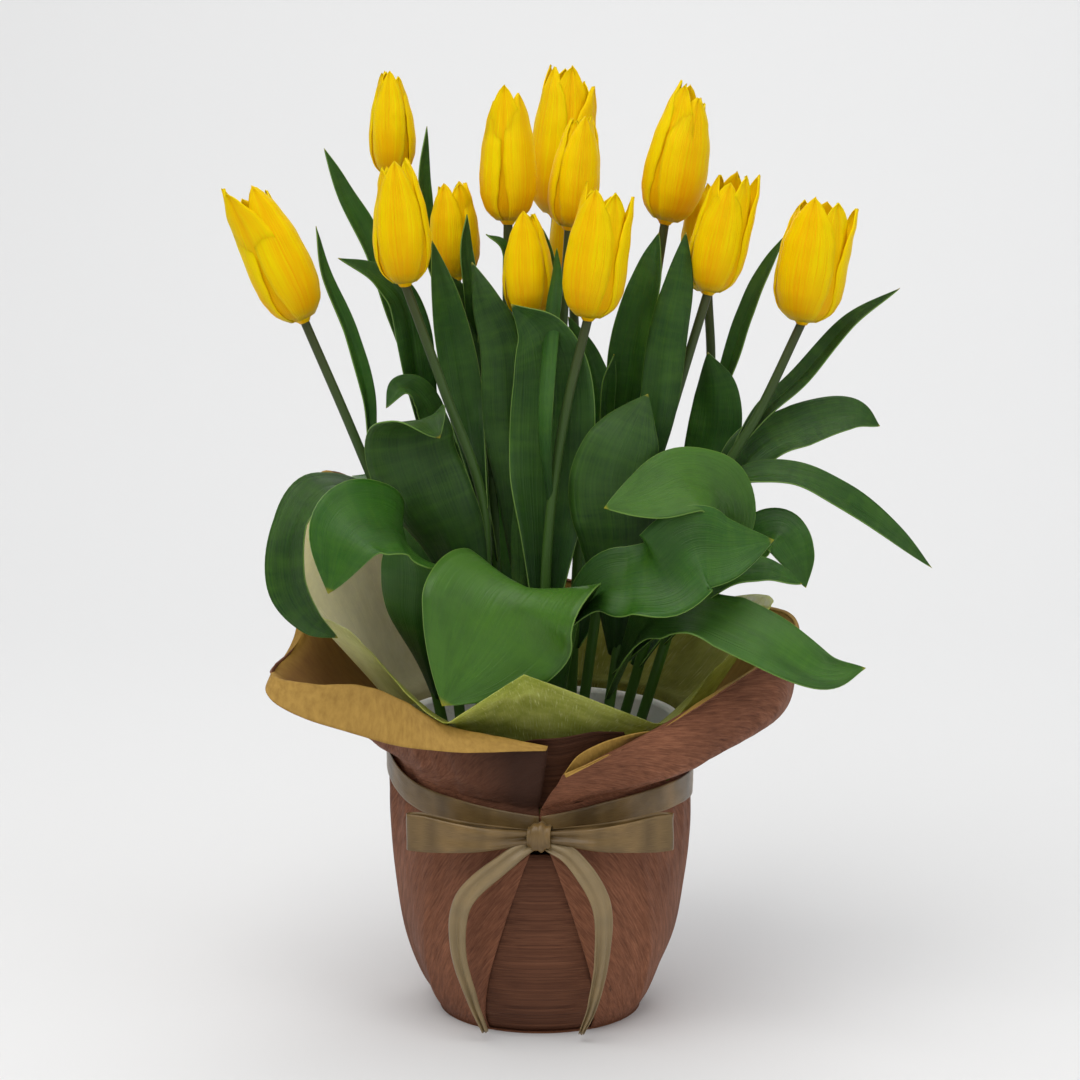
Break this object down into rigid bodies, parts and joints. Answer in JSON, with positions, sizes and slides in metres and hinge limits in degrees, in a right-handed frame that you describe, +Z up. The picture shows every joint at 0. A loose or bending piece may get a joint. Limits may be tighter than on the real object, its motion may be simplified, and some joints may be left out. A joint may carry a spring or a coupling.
{
  "type": "potted tulip",
  "caption": "Potted tulips with yellow cup-shaped blooms and broad leaves, wrapped in folded two-sided paper with a soft liner and a ribbon bow.",
  "frame": {"origin": "middle of the wrapped pot's flat underside, on the surface it stands on", "axes": "+Z up along the pot's axis, -Y towards the front with the bow, +X to the right as seen from the front"},
  "size_m": [0.3491, 0.2247, 0.4738],
  "materials": {
    "pot": "plain off-white moulded plastic",
    "soil": "dark crumbly potting soil with pale grit",
    "wrap_paper": "finely creped brown paper, tan on its inner side",
    "liner": "thin translucent yellow-green nonwoven",
    "ribbon": "olive-gold satin",
    "leaf": "waxy green leaf with parallel veins and a grey bloom",
    "petal": "silky bright yellow petal"
  },
  "bodies": {
    "root": {"pot": "pot", "soil": "soil", "wrap_paper": "wrap_paper", "liner": "liner", "ribbon": "ribbon", "plant_far_left": "leaf", "plant_back_left": "leaf", "plant_front_left": "leaf", "plant_mid_left": "leaf", "plant_mid": "leaf", "plant_back_tall": "leaf", "plant_mid_right": "leaf", "plant_front_low": "leaf", "plant_front": "leaf", "plant_tall_right": "leaf", "plant_right": "leaf", "plant_far_right": "leaf", "plant_back_mid": "leaf", "plant_back_right": "leaf", "bloom_far_left": "petal", "bloom_back_left": "petal", "bloom_front_left": "petal", "bloom_mid_left": "petal", "bloom_mid": "petal", "bloom_back_tall": "petal", "bloom_mid_right": "petal", "bloom_front_low": "petal", "bloom_front": "petal", "bloom_tall_right": "petal", "bloom_right": "petal", "bloom_far_right": "petal", "bloom_back_mid": "petal", "bloom_back_right": "petal"}
  },
  "joints": []
}
